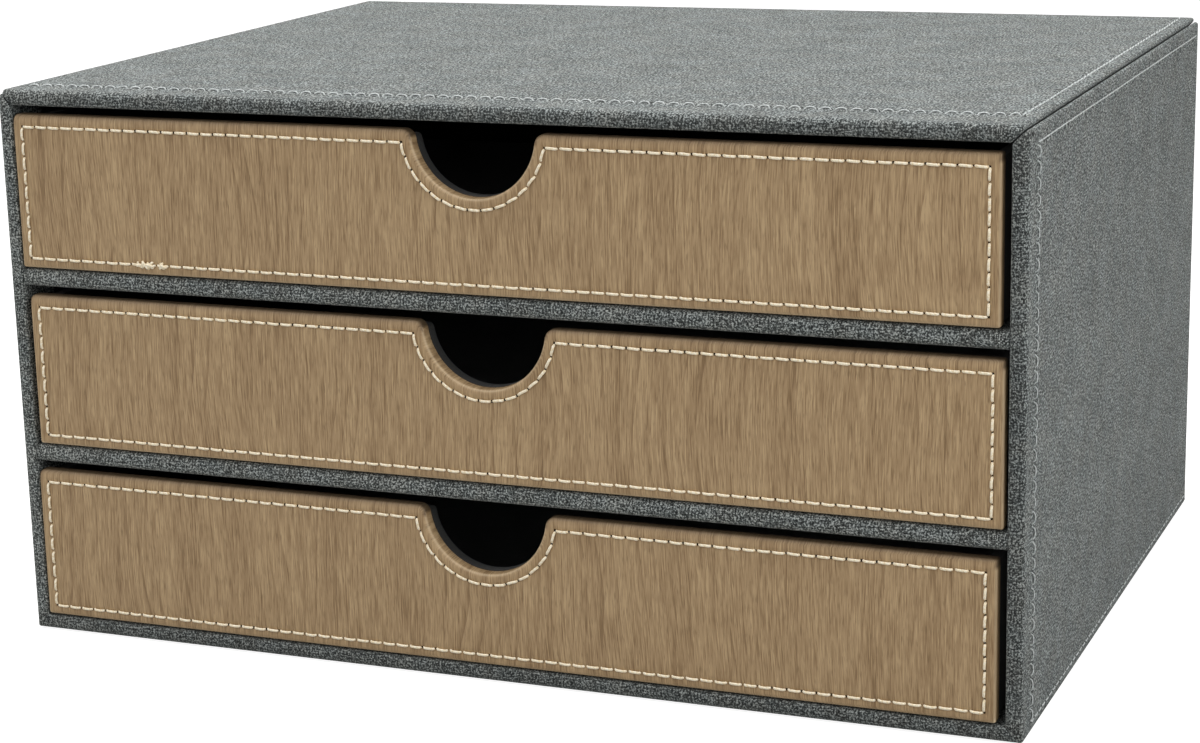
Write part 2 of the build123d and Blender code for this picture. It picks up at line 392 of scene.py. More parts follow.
which = add_node(tree, "MapRange", {1: -0.25, 2: 0.25}, {0: over_under})
thread = add_node(tree, "Mix", {"data_type": "FLOAT"}, {0: which, 2: threads[0], 3: threads[1]})
speckle = add_node(tree, "TexNoise",
                   {"noise_dimensions": "2D", "Scale": 1.5, "Detail": 1.0, "Roughness": 0.6},
                   {"Vector": cloth_map})
patches = add_node(tree, "TexNoise", {"noise_dimensions": "2D", "Scale": 0.06, "Detail": 2.0},
                   {"Vector": cloth_map})
speckle_share, patch_share = 0.9, 0.12
tone = add_node(tree, "Math", {"operation": "MULTIPLY_ADD", 1: speckle_share}, {0: speckle, 2: thread})
tone = add_node(tree, "Math", {"operation": "MULTIPLY_ADD", 1: patch_share}, {0: patches, 2: tone})
tone = add_node(tree, "Math", {"operation": "DIVIDE", 1: 1 + speckle_share + patch_share}, {0: tone})
dyes = []
for dark, grey, light in (("#1d2020", "#545958", "#b9bfbd"), ("#1e201e", "#565957", "#bbbfbb")):
    stops = ((0.38, dark), (0.5, grey), (0.62, light))
    dyes.append(add_node(tree, "ValToRGB", {"stops": stops}, {"Fac": tone}))
hue = add_node(tree, "TexNoise", {"noise_dimensions": "2D", "Scale": 0.11, "Detail": 1.0},
               {"Vector": cloth_map})
hue = add_node(tree, "MapRange", {1: 0.35, 2: 0.65}, {0: hue})
greys = add_node(tree, "Mix", {"data_type": "RGBA"}, {0: hue, 6: dyes[0], 7: dyes[1]})
# Painted shade: the front edges of the covers are painted a little darker
handled = add_node(tree, "Attribute", {"attribute_name": "handled"})
greys = add_node(tree, "Mix", {"data_type": "RGBA", 7: linear("#161717")},
                 {0: handled.outputs["Fac"], 6: greys.outputs[2]})
knuckle = add_node(tree, "Math", {"operation": "ABSOLUTE"}, {0: over_under})
knuckle = add_node(tree, "Math", {"operation": "MULTIPLY_ADD", 1: 0.6}, {0: knuckle, 2: thread})
relief = add_node(tree, "Bump", {"Strength": 0.8, "Distance": 0.3 * MM}, {"Height": knuckle})
skin = add_node(tree, "BsdfPrincipled",
                {"Roughness": 0.8, "Specular IOR Level": 0.2, "Sheen Weight": 0.08, "Sheen Roughness": 0.45,
                 "Sheen Tint": linear("#e9edec")}, {"Base Color": greys.outputs[2], "Normal": relief})
add_node(tree, "OutputMaterial", None, {"Surface": skin})

wall_corners = [
    (hem_y, -wall_thickness, 0),
    (front_y, -wall_thickness, inner_roll),
    (front_y, 0, outer_roll),
    (back_y, 0, outer_roll),
    (back_y, -wall_thickness, inner_roll),
    (back_panel_y, -wall_thickness, 0),
]
sewn_step, plain_step = 0.94, 6.0
level_rolls, side_rolls = (top_seam_roll, top_seam_roll), (bottom_seam_roll, top_seam_roll)
# How much painted shade each cover's front edge gets. It is darkest up to the first depth from the front and
# ends at the second
front_shade_strength, front_shade_full_until, front_shade_ends_at = {"top": 0.26, "bottom": 0.26, "left": 0.0, "right": 0.26}, 0.6, 2.0
for side, axes, origin, reach, relief_of, step, rolls in (
    ("top", ((1, 0, 0), (0, 1, 0), (0, 0, 1)), (0, 0, top_z), top_reach, top_relief, sewn_step, level_rolls),
    ("bottom", ((1, 0, 0), (0, 1, 0), (0, 0, -1)), (0, 0, base_z), top_reach,
     lambda a, s: np.zeros_like(a), plain_step, (bottom_seam_roll, bottom_seam_roll)),
    ("left", ((0, 0, 1), (0, 1, 0), (-1, 0, 0)), (-top_reach, 0, middle_z), side_reach, side_relief,
     sewn_step, side_rolls),
    ("right", ((0, 0, 1), (0, 1, 0), (1, 0, 0)), (top_reach, 0, middle_z), side_reach, side_relief,
     sewn_step, side_rolls),
):
    cover = wrapped_cloth(side + "_cover_cloth", axes, origin, rolled_path(wall_corners, step), reach, 1.0,
                          even_columns(reach, step), rolls, relief_of, cloth_skin)
    from_front = [point.co.y / MM - front_y for point in cover.data.vertices]
    darkened = [front_shade_strength[side] * min(1.0, max(0.0, (front_shade_ends_at - y) / (front_shade_ends_at - front_shade_full_until)))
                for y in from_front]
    cover.data.attributes.new("handled", "FLOAT", "POINT").data.foreach_set("value", darkened)
    cover.data.materials.append(linen_cloth)
    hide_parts(side + "_cover")
    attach(cover, "case")


# --- The sewing on the case ---
# Pale grey lockstitch, 4.7 mm a stitch, in a polyester thread about 0.45 mm thick. Each stitch dives into its
# two holes and bows a little between them, and the cloth puckers round it.

def sewn_thread(name, stitches, thread_width, thread_height, uv_turns):
    """One mesh of separate stitches. Each is (points along it, outward directions), from hole to hole."""
    points, faces, places = [], [], []
    around = 8
    tip_share, tip_length = 0.6, 1 / 6
    for centres, outs in stitches:
        count = len(centres)
        base = len(points)
        length = np.linalg.norm(centres[-1] - centres[0])
        for k in range(count):
            ahead = centres[min(k + 1, count - 1)] - centres[max(k - 1, 0)]
            ahead = ahead / np.linalg.norm(ahead)
            out = outs[k] - ahead * np.dot(outs[k], ahead)
            out = out / np.linalg.norm(out)
            across = np.cross(ahead, out)
            t = k / (count - 1)
            full = tip_share + (1 - tip_share) * min(1.0, t / tip_length, (1 - t) / tip_length) ** 0.6
            for j in range(around):
                angle = tau * j / around
                points.append(centres[k] + across * (thread_width / 2 * full * cos(angle))
                              + out * (thread_height / 2 * full * sin(angle)))
                places.append((length * t * uv_turns + j / around, t))
        tube = base + np.arange(count * around).reshape(count, around)
        faces += quads(tube, closed=True) + [tube[0, ::-1].tolist(), tube[-1].tolist()]
    return cloth_mesh(name, points, faces, places, 0)


def lay_stitch(start, end, surface, out, bow, tilt, sink, rise, gap):
    """Points of one stitch between two holes. surface(point) gives how far the cloth stands proud there."""
    centres, outs = [], []
    chord = end - start
    sideways = np.cross(chord / np.linalg.norm(chord), out)
    rings, steepness = 9, 3.2
    for k in range(rings):
        swing = cos(pi * k / (rings - 1))
        t = 0.5 - 0.5 * swing * (0.86 + 0.14 * abs(swing))
        hump = sin(pi * t)
        risen = min(1.0, steepness * hump)
        point = start + chord * (gap + (1 - 2 * gap) * t)
        point = point + sideways * (bow * hump + tilt * (t - 0.5))
        centres.append(point + out * (surface(point) + rise * risen - sink * (1 - risen)))
        outs.append(out)
    return centres, outs


def row_holes(start, end, count=0):
    """The needle holes of a straight row: count stitches, or as many as fit at the case's stitch length."""
    start, end = np.array(start, float), np.array(end, float)
    count = count or round(np.linalg.norm(end - start) / stitch_length)
    return [start + (end - start) * k / count for k in range(count + 1)]


def sew_row(holes, surface, out, bow, draw, sink=0.3, rise=0.32, gap=0.03):
    """The stitches of a row, one from each hole to the next."""
    out = np.array(out, float)
    return [lay_stitch(here, there, surface, out, bow * draw.uniform(0.75, 1.2), draw.uniform(-0.12, 0.12),
                       sink, rise, gap) for here, there in zip(holes, holes[1:])]


def hole_places(holes):
    """Each hole of a row with the direction in which the row runs there."""
    places = []
    for k in range(len(holes)):
        ahead = holes[min(k + 1, len(holes) - 1)] - holes[max(k - 1, 0)]
        places.append((holes[k], ahead / np.linalg.norm(ahead)))
    return places


def awl_slits(name, holes, surface, out, half_width, half_length, slant):
    """One mesh of small dark lenses of painted shade, one in each (place, direction of the row), turned by
    slant degrees.
    """
    points, faces, places = [], [], []
    rim_lift, dish, sides = 0.16, 0.12, 12
    turn = radians(slant)
    for hole, ahead in holes:
        across = np.cross(ahead, out)
        ahead, across = (ahead * cos(turn) + across * sin(turn),
                         across * cos(turn) - ahead * sin(turn))
        level = hole + out * (surface(hole) + rim_lift)
        base = len(points)
        points.append(level - out * dish)
        places.append((0.5, 0.5))
        for k in range(sides):
            c, s = cos(tau * k / sides), sin(tau * k / sides)
            points.append(level + ahead * (half_width * c) + across * (half_length * s))
            places.append((0.5 + 0.5 * c, 0.5 + 0.5 * s))
        faces += [(base, base + 1 + k, base + 1 + (k + 1) % sides) for k in range(sides)]
    return cloth_mesh(name, points, faces, places, 0)


# Spun polyester in two plies: the twist shows as fine slanting shadows, one turn in about 1 mm
def twisted_thread(name, light, dark, roughness):
    material, tree = new_material(name)
    coil = add_node(tree, "UVMap", {"uv_map": "cloth"})
    parts = add_node(tree, "SeparateXYZ", None, {0: coil})
    turns = add_node(tree, "Math", {"operation": "MULTIPLY", 1: tau}, {0: parts.outputs["X"]})
    ply = add_node(tree, "Math", {"operation": "SINE"}, {0: turns})
    fuzz = add_node(tree, "TexNoise", {"Scale": 2.2, "Detail": 4.0}, {"Vector": in_millimetres(tree)})
    tone = add_node(tree, "Math", {"operation": "MULTIPLY_ADD", 1: 0.07}, {0: ply, 2: fuzz})
    shade = add_node(tree, "ValToRGB", {"stops": ((0.30, dark), (0.58, light))}, {"Fac": tone})
    relief = add_node(tree, "Bump", {"Strength": 0.6, "Distance": 0.12 * MM}, {"Height": tone})
    skin = add_node(tree, "BsdfPrincipled", {"Roughness": roughness, "Sheen Weight": 0.2},
                    {"Base Color": shade, "Normal": relief})
    add_node(tree, "OutputMaterial", None, {"Surface": skin})
    return material


# Painted shade for holes: no light comes back out of a hole, so a dark patch stands in it, with only a little
# of the stuff's own colour
def hole_shadow(name, dark, light):
    material, tree = new_material(name)
    grain = add_node(tree, "TexNoise", {"Scale": 3.0, "Detail": 3.0}, {"Vector": in_millimetres(tree)})
    shade = add_node(tree, "ValToRGB", {"stops": ((0.0, dark), (1.0, light))}, {"Fac": grain})
    skin = add_node(tree, "BsdfPrincipled", {"Roughness": 0.9, "Specular IOR Level": 0.1},
                    {"Base Color": shade})
    add_node(tree, "OutputMaterial", None, {"Surface": skin})
    return material


grey_thread = twisted_thread("pale_grey_polyester_thread", "#d8dcdb", "#9fa4a3", 0.6)
needle_hole = hole_shadow("needle_hole_shadow", "#141514", "#2b2d2c")
# A thread is (width, height, twists in a millimetre), a hole (half width, half length, slant in degrees)
case_thread, prick = (0.45, 0.4, 1.0), (0.3, 0.42, 0)
draw = random.Random(21)


def on_top(point):
    return float(top_relief(np.array([point[0]]), point[1])[0])


def on_side(point):
    return float(side_relief(np.array([point[2] - middle_z]), point[1])[0])


def finish_sewing(name, stitches, rows, surface, out):
    """The case's thread and its needle holes, one mesh each."""
    holes = [place for row in rows for place in hole_places(row)]
    sewing = sewn_thread(name + "_stitching", stitches, *case_thread)
    pricks = awl_slits(name + "_needle_holes", holes, surface, np.array(out, float), *prick)
    for piece, material in ((sewing, grey_thread), (pricks, needle_hole)):
        piece.data.materials.append(material)
        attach(piece, "case")


(front_row_x, front_row_y), (corner_x, corner_y) = top_row_ends
up = (0, 0, 1)
along_front = row_holes((front_row_x, front_row_y, top_z), (corner_x, corner_y, top_z))
along_right = row_holes((corner_x, corner_y, top_z), (corner_x, row_stop, top_z))
stitches = sew_row(along_front, on_top, up, -0.8, draw)
stitches += sew_row(along_right, on_top, up, 0.3, draw, sink=0.25, rise=0.2, gap=0.19)
finish_sewing("top_edge", stitches, (along_front, along_right), on_top, up)

for side, sign in (("left", -1), ("right", 1)):
    x, low, high = sign * top_reach, base_z + side_bottom_row, top_z - row_inset
    out = (sign, 0, 0)
    upright = row_holes((x, side_front_row, low), (x, side_front_row, high))
    upper = row_holes((x, side_front_row, high), (x, row_stop, high))
    lower = row_holes((x, side_front_row, low), (x, row_stop, low))
    stitches = sew_row(upright, on_side, out, sign * 0.7, draw)
    stitches += sew_row(upper, on_side, out, -sign * 0.2, draw, sink=0.2, rise=0.15, gap=0.09)
    stitches += sew_row(lower, on_side, out, sign * 0.2, draw, sink=0.15, rise=0.05, gap=0.09)
    finish_sewing(side + "_side", stitches, (upright, upper, lower), on_side, out)

# Painted shade: a small dark patch under the seam, at the right front corner, stands for the shadow of a
# pucker
pucker_place, shade_patch = np.array((top_reach, front_y + 4.0, top_z - 2.6)), (0.5, 0.95, 20)
pucker_shade = awl_slits("right_corner_pucker_shade", [(pucker_place, np.array((0, 1.0, 0)))], on_side,
                   np.array((1.0, 0, 0)), *shade_patch)
pucker_shade.data.materials.append(needle_hole)
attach(pucker_shade, "case")


# --- Back panel and shelf fronts ---
# The same cloth: the back is one wrapped board set in between the walls, and each shelf board is wrapped
# over its front edge, with the ends of the cloth tucked in where it butts against the sides.

bay_width, bay_height, shelf_thickness = 330.0, 54.0, 5.8
bay_reach, half_back, half_shelf = bay_width / 2, case_height / 2 - wall_thickness, shelf_thickness / 2
bay_pitch = bay_height + shelf_thickness
back_roll, shelf_roll, shelf_end_roll, shelf_recess, shelf_step = 0.9, 2.3, 0.6, 0.3, 2.5


def back_relief(a, s):
    margin, fade = 3, 8
    near_end = np.clip((bay_reach - margin - np.abs(a)) / fade, 0, 1)
    near_edge = np.clip((half_back - margin - abs(s)) / fade, 0, 1)
    return near_end * near_edge * (plain_waves(a, s) + 0.1)


back_path = rolled_path([(-half_back, -back_panel_thickness, 0), (-half_back, 0, back_roll),
                         (half_back, 0, back_roll), (half_back, -back_panel_thickness, 0)], plain_step)
back_cloth = wrapped_cloth("back_cover_cloth", ((-1, 0, 0), (0, 0, 1), (0, 1, 0)),
                           (0, back_y - back_recess, middle_z), back_path, bay_reach, 0.0,
                           even_columns(bay_reach, plain_step), (back_roll, back_roll), back_relief,
                           cloth_skin)
back_cloth.data.materials.append(linen_cloth)
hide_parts("back_cover")
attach(back_cloth, "case")

shelf_hem = hem_y - front_y - shelf_recess
shelf_path = rolled_path([(-half_shelf, -shelf_hem, 0), (-half_shelf, 0, shelf_roll),
                          (half_shelf, 0, shelf_roll), (half_shelf, -shelf_hem, 0)], 2.0)
for index, shelf in enumerate(("lower_shelf", "upper_shelf"), start=1):
    shelf_z = base_z + wall_thickness + index * bay_pitch - half_shelf
    shelf_waves = soft_waves(30 + index, 0.05, 24.0)
    shelf_cloth = wrapped_cloth(shelf + "_cover_cloth", ((1, 0, 0), (0, 0, 1), (0, -1, 0)),
                                (0, front_y + shelf_recess, shelf_z), shelf_path, bay_reach, 0.0,
                                even_columns(bay_reach, shelf_step), (shelf_end_roll, shelf_end_roll),
                                shelf_waves, cloth_skin)
    shelf_cloth.data.materials.append(linen_cloth)
    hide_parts(shelf + "_cover")
    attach(shelf_cloth, "case")


# --- Linings, drawer cloth, pads and the felt under the case ---
# Black paper lines the bays, black book cloth covers the drawer boxes, napped flannelette pads their
# floors, and needle felt is glued under the case. They keep their CAD shapes.

# To the eye: dull paper, a cloth with a fine rib, a soft nap and a pressed felt, each nearly black. grain is
# how many marks stand in a millimetre, and stretch draws them out along the piece
for ending, name, dark, light, grain, grain_height, stretch, roughness, sheen in (
    ("_bay_lining", "black_lining_paper", "#2e2e2e", "#40403f", 0.9, 0.05, (1, 1, 1), 0.7, 0.0),
    ("_box_wrap", "black_book_cloth", "#272727", "#383837", 1.6, 0.12, (1, 0.6, 1), 0.7, 0.1),
    ("_floor_pad", "black_flannelette", "#333333", "#4a4a49", 1.1, 0.2, (1, 0.4, 1), 0.95, 0.4),
    ("base_felt", "black_needle_felt", "#151515", "#2b2b2a", 0.8, 0.3, (1, 1, 1), 0.95, 0.3),
):
    black_sheet, tree = new_material(name)
    place = in_millimetres(tree)
    fine = add_node(tree, "Mapping", {"Scale": stretch}, {"Vector": place})
    fine = add_node(tree, "TexNoise", {"Scale": grain, "Detail": 4.0, "Roughness": 0.7}, {"Vector": fine})
    wear_and_painted_light = add_node(tree, "TexNoise", {"Scale": 0.03, "Detail": 4.0, "Roughness": 0.6}, {"Vector": place})
    tone = add_node(tree, "Math", {"operation": "MULTIPLY_ADD", 1: 0.5}, {0: wear_and_painted_light, 2: fine})
    shade = add_node(tree, "ValToRGB", {"stops": ((0.55, dark), (0.98, light))}, {"Fac": tone})
    relief = add_node(tree, "Bump", {"Strength": 0.6, "Distance": grain_height * MM}, {"Height": fine})
    skin = add_node(tree, "BsdfPrincipled",
                    {"Roughness": roughness, "Specular IOR Level": 0.25, "Sheen Weight": sheen},
                    {"Base Color": shade, "Normal": relief})
    add_node(tree, "OutputMaterial", None, {"Surface": skin})
    dress(ending, black_sheet)


# --- The drawer fronts ---
# A 3 mm board wrapped in leather cloth that is printed and embossed like wood, drawn over all edges and
# turned in 9 mm behind. A cream saddle stitch follows the edge and goes round under the finger notch.

front_width, front_height, front_thickness = 326.9, 50.6, 4.4
front_face_y = front_y + 0.3
leather_roll, leather_turn_in, leather_thickness = 1.1, 9.0, 0.7
upper_left_corner, other_corners, notch_radius, notch_lip = 1.9, 0.8, 20.6, 3.2
side_row, upper_row, lower_row, notch_row = 3.5, 4.1, 3.2, 3.55
stitches_in = {"upper": 29, "notch": 15, "lower": 68, "left": 9, "right": 10}
samples_per_stitch, tightest = 4, 0.2
half_front, leather_skin = front_width / 2, leather_thickness - 0.1


def turn_about(centre, radius, start, stop, count):
    """Points on an arc, from one angle in degrees to another."""
    angles = np.radians(np.linspace(start, stop, count))
    return np.stack([centre[0] + radius * np.cos(angles), centre[1] + radius * np.sin(angles)], 1)


def front_ring(inset):
    """Outline of a drawer front drawn in by inset, as four sides of (x, z) points: lower, right, upper, left.

    Beyond the roll the insets drift so that at 3.5 mm the outline is the line of the stitches.
    """
    drift = min(1.0, max(0.0, (inset - leather_roll) / (side_row - leather_roll)))
    bite = notch_radius + inset + (notch_row - side_row) * drift
    half = half_front - inset
    top = front_height - inset - (upper_row - side_row) * drift
    bottom = inset + (lower_row - side_row) * drift
    cut = max(upper_left_corner - inset, tightest)
    corner = max(other_corners - inset, tightest)
    lip = max(notch_lip - inset, tightest)
    # The lip's arc touches the top edge and the notch's circle, both from inside the leather
    lip_drop = front_height - (top - lip)
    lip_x = sqrt((bite + lip) ** 2 - lip_drop ** 2)
    lip_turn = degrees(asin(lip_drop / (bite + lip)))
    corner_steps, lip_steps = 5, 6
    straight = stitches_in["upper"] * samples_per_stitch
    arc = stitches_in["notch"] * samples_per_stitch
    upper_side = np.concatenate([
        turn_about((-half + cut, top - cut), cut, 135, 90, corner_steps)[:-1],
        np.stack([np.linspace(-half + cut, -lip_x, straight + 1), np.full(straight + 1, top)], 1),
        turn_about((-lip_x, top - lip), lip, 90, lip_turn, lip_steps)[1:-1],
        turn_about((0, front_height), bite, 180 + lip_turn, 360 - lip_turn, arc + 1),
        turn_about((lip_x, top - lip), lip, 180 - lip_turn, 90, lip_steps)[1:-1],
        np.stack([np.linspace(lip_x, half - corner, straight + 1), np.full(straight + 1, top)], 1),
        turn_about((half - corner, top - corner), corner, 90, 45, corner_steps)[1:]])
    lower_side = np.stack([upper_side[:, 0], np.full(len(upper_side), bottom)], 1)
    lower_side[:corner_steps] = turn_about((-half + corner, bottom + corner), corner, 225, 270, corner_steps)
    lower_side[-corner_steps:] = turn_about((half - corner, bottom + corner), corner, 270, 315, corner_steps)
    sides, climb_steps = [], stitches_in["right"] * samples_per_stitch
    for sign, upper_corner in ((1, corner), (-1, cut)):
        climb = np.linspace(bottom + corner, top - upper_corner, climb_steps + 1)
        side = np.concatenate([
            turn_about((half - corner, bottom + corner), corner, 315, 360, corner_steps)[:-1],
            np.stack([np.full(len(climb), half), climb], 1),
            turn_about((half - upper_corner, top - upper_corner), upper_corner, 0, 45, corner_steps)[1:]])
        sides.append(side * (sign, 1))
    return lower_side, sides[0], upper_side, sides[1]


def whole_ring(inset):
    """The four sides joined into one loop, counter-clockwise from the lower left corner."""
    lower_side, right_side, upper_side, left_side = front_ring(inset)
    return np.concatenate([lower_side[:-1], right_side[:-1], upper_side[::-1][:-1], left_side[::-1][:-1]])


sewn_left, sewn_right = -half_front + side_row, half_front - side_row
sewn_top, sewn_bottom = front_height - upper_row, lower_row
sewn_bite = notch_radius + notch_row
notch_meets = sqrt(sewn_bite ** 2 - upper_row ** 2)
notch_angle = degrees(asin(upper_row / sewn_bite))


def sewn_rows():
    """The holes of each sewn row of a drawer front, as (x, z)."""
    notch = turn_about((0, front_height), sewn_bite, 180 + notch_angle, 360 - notch_angle,
                       stitches_in["notch"] + 1)
    return [
        row_holes((sewn_left, sewn_bottom), (sewn_right, sewn_bottom), stitches_in["lower"]),
        row_holes((sewn_right, sewn_bottom), (sewn_right, sewn_top), stitches_in["right"]),
        row_holes((sewn_right, sewn_top), (notch_meets, sewn_top), stitches_in["upper"]),
        notch[::-1],
        row_holes((-notch_meets, sewn_top), (sewn_left, sewn_top), stitches_in["upper"]),
        row_holes((sewn_left, sewn_top), (sewn_left, sewn_bottom), stitches_in["left"]),
    ]


front_holes = np.array(sorted({(round(x, 4), round(z, 4)) for row in sewn_rows() for x, z in row}))


def top_ease(points):
    """The leather leans back a little towards the top edge, where fingers pull it."""
    ease, ease_height = 0.45, 1.7
    return -ease * np.exp(-(((front_height - points[:, 1]) / ease_height) ** 2))


def ridge(distance, width):
    """A smooth ridge, 1 high, that falls away on both sides of a line."""
    return np.exp(-((distance / width) ** 2))


def leather_relief(points, inset):
    """How far the leather stands proud of its flat face: pulled in along the row, swollen beside it."""
    groove_depth, hole_depth, edge_swell, inner_swell = 0.153, 0.306, 0.06, 0.05
    past = inset - side_row
    near = np.min(np.linalg.norm(points[:, None, :] - front_holes[None, :, :], axis=2), axis=1)
    swell = edge_swell * ridge(inset - 2.0, 0.9) + inner_swell * ridge(past - 2.2, 1.2)
    return swell - groove_depth * ridge(past, 0.75) - hole_depth * ridge(near, 0.85) + top_ease(points)


# Printed wood under a satin film, embossed along the grain: streaks 0.4 to 1.3 mm wide that lean a little,
# broad soft bands, and short dark pores, so that the eye reads light walnut until it meets the stitches
wood_leather, tree = new_material("embossed_wood_grain_leathercloth")
grain_map = add_node(tree, "UVMap", {"uv_map": "cloth"})
sway_wide, sway_long, sway_reach = 65.0, 75.0, 2.5
lean = add_node(tree, "Mapping", {"Scale": (1 / sway_wide, 1 / sway_long, 1)}, {"Vector": grain_map})
lean = add_node(tree, "TexNoise", {"noise_dimensions": "2D", "Scale": 1.0, "Detail": 1.0}, {"Vector": lean})
sway = add_node(tree, "Math", {"operation": "MULTIPLY_ADD", 1: 2 * sway_reach, 2: -sway_reach}, {0: lean})
sway = add_node(tree, "CombineXYZ", None, {"X": sway})
swayed = add_node(tree, "VectorMath", {"operation": "ADD"}, {0: grain_map, 1: sway})
# Each kind of mark: how wide and how long it is in millimetres, and how finely it breaks up
streaks = {}
for streak, wide, long, detail, rough in (
    ("fine", 0.42, 10.0, 2.0, 0.6),
    ("pore", 0.34, 4.2, 1.0, 0.5),
    ("mid", 1.3, 30.0, 2.0, 0.55),
    ("band", 9.0, 130.0, 2.0, 0.5),
    ("cloud", 24.0, 30.0, 2.0, 0.6),
    ("heart", 34.0, 80.0, 1.0, 0.5),
):
    stretched = add_node(tree, "Mapping", {"Scale": (1 / wide, 1 / long, 1)}, {"Vector": swayed})
    streaks[streak] = add_node(tree, "TexNoise",
                               {"noise_dimensions": "2D", "Scale": 1.0, "Detail": detail, "Roughness": rough},
                               {"Vector": stretched})
# Growth lines: soft on one side and crisp on the other, 5 mm apart where straight, arched near a heart
growth_spacing, heart_rings = 5.0, 3.4
across_grain = add_node(tree, "SeparateXYZ", None, {0: swayed}).outputs["X"]
ring = add_node(tree, "Math", {"operation": "MULTIPLY", 1: 1 / growth_spacing}, {0: across_grain})
ring = add_node(tree, "Math", {"operation": "MULTIPLY_ADD", 1: heart_rings}, {0: streaks["heart"], 2: ring})
ring = add_node(tree, "Math", {"operation": "FRACT"}, {0: ring})
ring = add_node(tree, "Math", {"operation": "POWER", 1: 5.0}, {0: ring})
showing = add_node(tree, "MapRange", {1: 0.42, 2: 0.62, 3: 0.02, 4: 0.16}, {0: streaks["cloud"]})
ring = add_node(tree, "Math", {"operation": "MULTIPLY"}, {0: ring, 1: showing})
grain = add_node(tree, "Math", {"operation": "MULTIPLY", 1: 0.56}, {0: streaks["fine"]})
for streak, share in (("mid", 0.20), ("band", 0.20), ("cloud", 0.09)):
    grain = add_node(tree, "Math", {"operation": "MULTIPLY_ADD", 1: share}, {0: streaks[streak], 2: grain})
grain = add_node(tree, "Math", {"operation": "SUBTRACT"}, {0: grain, 1: ring})
woods = add_node(tree, "ValToRGB", {"stops": ((0.35, "#856a49"), (0.5, "#a68a66"), (0.65, "#bfa37c"))},
                 {"Fac": grain})
pore_depth = add_node(tree, "MapRange", {1: 0.60, 2: 0.74}, {0: streaks["pore"]})
pore_shade = add_node(tree, "Math", {"operation": "MULTIPLY", 1: 0.45}, {0: pore_depth})
printed = add_node(tree, "Mix", {"data_type": "RGBA", 7: linear("#6f5737")}, {0: pore_shade, 6: woods})
# Painted highlight along the turned edge at the sides and below, strongest at some corner folds, and painted
# shade along it above, where it slides under a shelf
for wear_and_painted_light, colour in (("rubbed", "#dcc6a4"), ("soiled", "#3a2d20")):
    painted_light_amount = add_node(tree, "Attribute", {"attribute_name": wear_and_painted_light}).outputs["Fac"]
    printed = add_node(tree, "Mix", {"data_type": "RGBA", 7: linear(colour)},
                       {0: painted_light_amount, 6: printed.outputs[2]})
emboss = add_node(tree, "Math", {"operation": "MULTIPLY_ADD", 1: -0.8}, {0: pore_depth, 2: streaks["fine"]})
relief = add_node(tree, "Bump", {"Strength": 0.45, "Distance": 0.12 * MM}, {"Height": emboss})
gloss = add_node(tree, "MapRange", {1: 0.3, 2: 0.7, 3: 0.62, 4: 0.50}, {0: streaks["fine"]})
skin = add_node(tree, "BsdfPrincipled", {"Specular IOR Level": 0.4},
                {"Base Color": printed.outputs[2], "Roughness": gloss, "Normal": relief})
add_node(tree, "OutputMaterial", None, {"Surface": skin})

# Waxed cream thread, and painted shade in the slits that the awl left between the stitches
cream_thread = twisted_thread("waxed_cream_thread", "#fff5de", "#edd7aa", 0.4)
slit_dark = hole_shadow("awl_slit_shadow", "#120b06", "#2b1d11")
saddle_thread, slit = (0.88, 0.72, 1 / 1.1), (0.36, 0.95, 22)
saddle_tilt, saddle_sink, saddle_rise, saddle_gap = 0.16, 0.12, 0.42, 0.085
# Where the top drawer's thread was tied off: the place of each lump along the lower row, and its half length
knot_lumps = ((-119.6, 1.3), (-118.2, 1.7), (-116.4, 1.3), (-111.7, 1.1))
knot_layers, knot_rise, layer_height = 3, 0.62, 0.16

# The leather's rings from its hem behind to the middle of its face, each (inset from the edge, depth)
ring_plan = [(leather_turn_in, front_thickness - 0.5)]
ring_plan += [(inset, front_thickness) for inset in (leather_turn_in, 5.0, 1.0, 0.3)]
ring_plan += [(0.08, front_thickness - 0.1), (0.0, front_thickness - 0.35),
              (0.0, (front_thickness + leather_roll) / 2)]
roll_turns = 7
for k in range(roll_turns):
    angle = pi / 2 * k / roll_turns
    ring_plan.append((leather_roll * (1 - cos(angle)), leather_roll * (1 - sin(angle))))
face_insets = (leather_roll, 1.4, 1.8, 2.25, 2.65, 2.95, 3.2, 3.5, 3.8, 4.05, 4.35, 4.8, 5.4, 6.2, 7.4)
ring_plan += [(inset, 0.0) for inset in face_insets]
walked = [0.0]
for ring_a, ring_b in zip(ring_plan, ring_plan[1:]):
    walked.append(walked[-1] + dist(ring_a, ring_b))
edge_walk = walked[ring_plan.index((leather_roll, 0.0))]

rest_gap_left = {"bottom": 0.3, "middle": 1.9, "top": 0.4}
front_lift = 0.6
grain_shift = {"bottom": (40.0, 500.0), "middle": (905.0, 240.0), "top": (1650.0, 20.0)}
# Painted light on the turned edge: a painted highlight on the roll, strongest at the folds of these corners,
# and painted shade along the top edge
fold_highlight_corners = {"bottom": ((-half_front, 0), (half_front, 0)), "middle": ((-half_front, 0),), "top": ()}
side_strip, top_strip = 9.5, 2.6
highlight_at, highlight_width, highlight_amount, fold_width = 0.75, 0.45, 0.42, 1.5
top_shade_amount, top_shade_width = 0.8, 1.5

